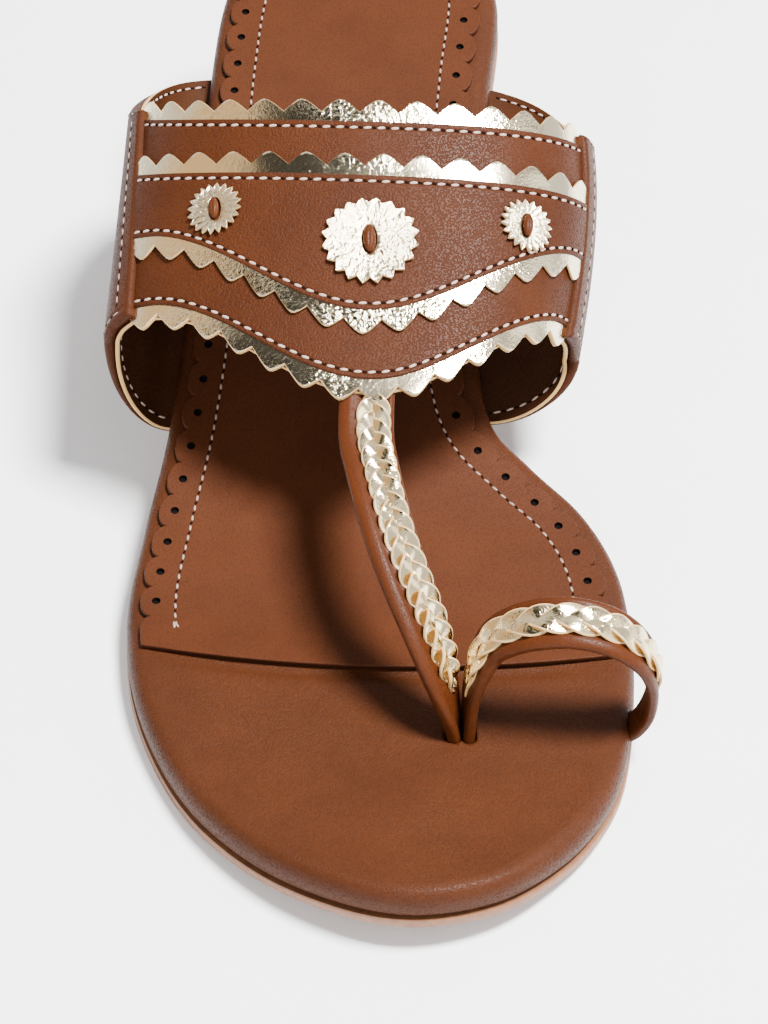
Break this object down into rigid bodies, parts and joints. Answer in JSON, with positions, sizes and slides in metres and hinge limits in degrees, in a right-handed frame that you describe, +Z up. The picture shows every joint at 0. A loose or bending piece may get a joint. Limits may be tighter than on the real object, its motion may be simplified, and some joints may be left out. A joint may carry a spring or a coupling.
{
  "type": "sandal",
  "caption": "Block-heeled toe-ring sandal: padded footbed, wide instep band with pinked gold layers and rosettes, braided centre strap and toe ring.",
  "frame": {"origin": "middle of the heel tip's underside, on the floor plane", "axes": "-Y towards the toe, +X the medial side (big toe), +Z up; the floor is z = 0"},
  "size_m": [0.0968, 0.2349, 0.0678],
  "materials": {
    "brown_leather": "satin",
    "gold_leather": "metallic foil",
    "outsole_resin": "matte",
    "heel_rubber": "matte"
  },
  "bodies": {
    "root": {"upper": "brown_leather", "panel": "brown_leather", "footbed": "brown_leather", "sock": "brown_leather", "heel_block": "brown_leather", "outsole": "outsole_resin", "heel_tip": "heel_rubber", "gold_strip_rear": "gold_leather", "gold_strip_panel_rear": "gold_leather", "gold_strip_panel_front": "gold_leather", "gold_strip_front": "gold_leather", "rosette_centre": "gold_leather", "rosette_lateral": "gold_leather", "rosette_medial": "gold_leather", "knot_centre": "brown_leather", "knot_lateral": "brown_leather", "knot_medial": "brown_leather", "centre_braid": "gold_leather", "ring_braid": "gold_leather"}
  },
  "joints": []
}
